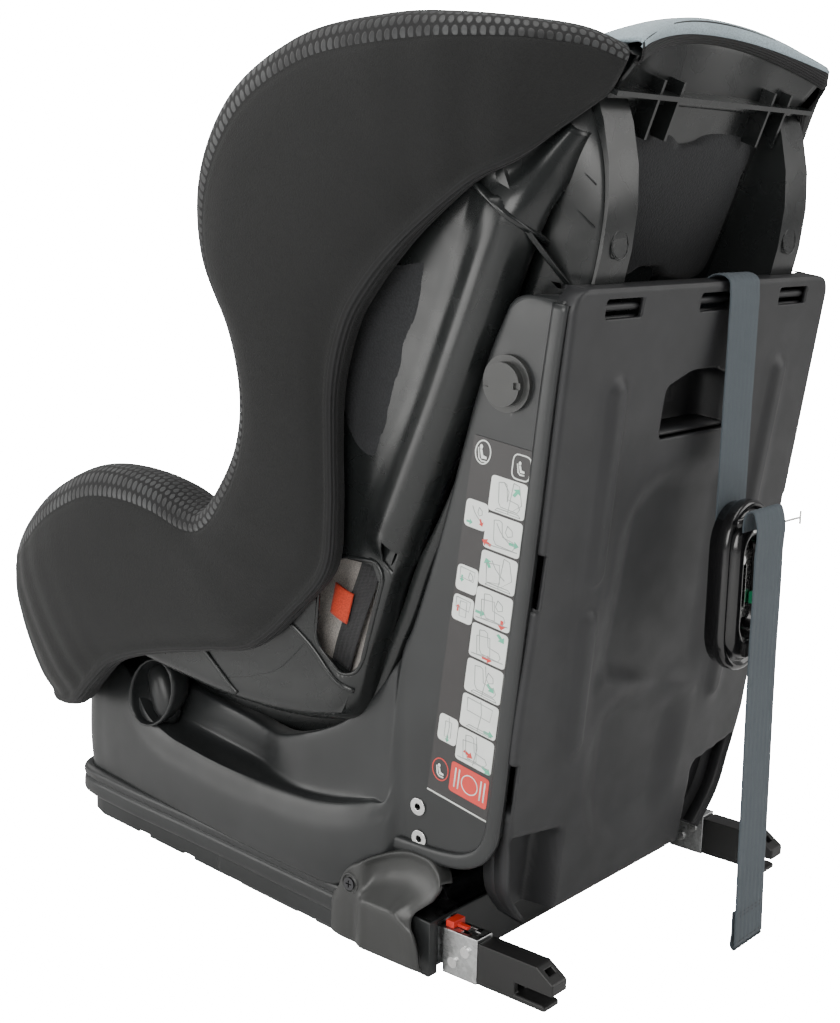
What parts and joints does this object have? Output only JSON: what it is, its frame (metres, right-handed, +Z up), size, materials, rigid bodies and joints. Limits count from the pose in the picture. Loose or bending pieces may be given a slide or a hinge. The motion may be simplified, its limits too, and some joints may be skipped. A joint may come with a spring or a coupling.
{
  "type": "convertible car seat",
  "caption": "Reclining child car seat: padded moulded shell with winged cover and harness on a base with sliding anchor arms, rear storage panel and top tether.",
  "frame": {"origin": "middle of the flat underside of the base", "axes": "+X the child's left, -Y the way the seat faces, +Z up"},
  "size_m": [0.416, 0.5845, 0.6],
  "materials": {
    "base_plastic": "satin moulded, fine texture",
    "panel_plastic": "matte moulded, spark-eroded texture",
    "shell_plastic": "smooth semi-gloss moulded",
    "slide_plastic": "smooth",
    "cap_plastic": "smooth",
    "gloss_black": "polished",
    "jaw_black": "satin",
    "red_plastic": "satin",
    "green_plastic": "satin",
    "white_plastic": "satin",
    "steel": "pressed sheet and bar",
    "zinc_steel": "bright zinc plated",
    "dark_steel": "black coated",
    "bright_metal": "plated",
    "label": "printed film",
    "foam": "expanded bead foam",
    "cover_fabric": "stretch jersey",
    "insert_fabric": "honeycomb jersey",
    "light_fabric": "smooth pale jersey",
    "liner_fabric": "silver speckled weave",
    "pad_fabric": "padded jersey",
    "red_fabric": "woven tag",
    "harness_webbing": "woven webbing",
    "tether_webbing": "woven webbing"
  },
  "bodies": {
    "base": {"base_tray": "base_plastic", "base_shell": "base_plastic", "rear_panel": "panel_plastic", "base_frame": "steel", "recline_rails": "slide_plastic", "recline_rack": "steel", "isofix_guides": "steel", "corner_covers": "base_plastic", "cover_screws": "dark_steel", "side_rivets": "bright_metal", "pivot_caps": "cap_plastic", "instruction_labels": "label", "tether_strap": "tether_webbing", "tether_adjuster": "gloss_black", "tether_hook": "bright_metal", "tether_tail": "tether_webbing", "tag_pin": "white_plastic"},
    "seat": {"seat_shell": "shell_plastic", "carriage_bolts": "steel", "handle_pin": "steel", "latch_spring": "bright_metal", "seat_foam": "foam", "wing_foam_left": "foam", "wing_foam_right": "foam", "seat_cushion": "cover_fabric", "back_cushion": "cover_fabric", "head_cushion": "insert_fabric", "cover_left": "cover_fabric", "cover_right": "cover_fabric", "cover_front": "cover_fabric", "head_top_panel": "light_fabric", "belt_liners": "liner_fabric", "shoulder_straps": "harness_webbing", "shoulder_pads": "pad_fabric", "lap_straps": "harness_webbing", "strap_tags": "red_fabric", "splitter_plate": "steel", "adjuster_strap": "harness_webbing", "harness_adjuster": "slide_plastic", "crotch_strap": "harness_webbing", "crotch_pad": "pad_fabric", "buckle_body": "gloss_black", "buckle_tongues": "bright_metal"},
    "handle": {"recline_handle": "red_plastic"},
    "latch": {"recline_latch": "steel"},
    "arm_left": {"isofix_arm_left": "zinc_steel", "isofix_jaw_left": "jaw_black", "isofix_rivets_left": "bright_metal"},
    "hook_left": {"isofix_hook_left": "steel"},
    "release_left": {"isofix_release_left": "red_plastic"},
    "arm_right": {"isofix_arm_right": "zinc_steel", "isofix_jaw_right": "jaw_black", "isofix_rivets_right": "bright_metal"},
    "hook_right": {"isofix_hook_right": "steel"},
    "release_right": {"isofix_release_right": "red_plastic"},
    "gate": {"tether_gate": "bright_metal"},
    "indicator": {"tension_indicator": "green_plastic"},
    "tether_button": {"tether_release": "gloss_black"},
    "harness_button": {"adjuster_button": "red_plastic"},
    "buckle_push": {"buckle_button": "red_plastic"}
  },
  "joints": [
    {"name": "recline", "type": "hinge", "parent": "base", "child": "seat", "pos_m": [0, 0.02, 0.6], "axis": [-1, 0, 0], "range_deg": [0, 12]},
    {"name": "handle_pull", "type": "hinge", "parent": "seat", "child": "handle", "pos_m": [0, -0.214, 0.144], "axis": [-1, 0, 0], "range_deg": [0, 18]},
    {"name": "latch_lift", "type": "slide", "parent": "seat", "child": "latch", "axis": [0, 0.1219, 0.9925], "range_m": [0, 0.0081]},
    {"name": "arm_slide_left", "type": "slide", "parent": "base", "child": "arm_left", "axis": [0, 1, 0], "range_m": [0, 0.07]},
    {"name": "release_slide_left", "type": "slide", "parent": "arm_left", "child": "release_left", "axis": [0, 1, 0], "range_m": [0, 0.005]},
    {"name": "hook_turn_left", "type": "hinge", "parent": "arm_left", "child": "hook_left", "pos_m": [0.14, 0.232, 0.021], "axis": [-1, 0, 0], "range_deg": [0, 14.1]},
    {"name": "arm_slide_right", "type": "slide", "parent": "base", "child": "arm_right", "axis": [0, 1, 0], "range_m": [0, 0.07]},
    {"name": "release_slide_right", "type": "slide", "parent": "arm_right", "child": "release_right", "axis": [0, 1, 0], "range_m": [0, 0.005]},
    {"name": "hook_turn_right", "type": "hinge", "parent": "arm_right", "child": "hook_right", "pos_m": [-0.14, 0.232, 0.021], "axis": [-1, 0, 0], "range_deg": [0, 14.1]},
    {"name": "gate_swing", "type": "hinge", "parent": "base", "child": "gate", "pos_m": [-0.0215, 0.295, 0.266], "axis": [0, 1, 0], "range_deg": [0, 18]},
    {"name": "indicator_slide", "type": "slide", "parent": "base", "child": "indicator", "axis": [0, 0, 1], "range_m": [0, 0.004]},
    {"name": "tether_release_slide", "type": "slide", "parent": "base", "child": "tether_button", "axis": [0, 0, -1], "range_m": [0, 0.005]},
    {"name": "harness_button_push", "type": "slide", "parent": "seat", "child": "harness_button", "axis": [0, 0, -1], "range_m": [0, 0.004]},
    {"name": "buckle_button_push", "type": "slide", "parent": "seat", "child": "buckle_push", "axis": [0, 1, 0], "range_m": [0, 0.004]}
  ],
  "couplings": [
    {"joint": "latch_lift", "follows": "handle_pull", "m_per_rad": 0.02546},
    {"joint": "hook_turn_left", "follows": "release_slide_left", "rad_per_m": 48.87},
    {"joint": "hook_turn_right", "follows": "release_slide_right", "rad_per_m": 48.87}
  ]
}
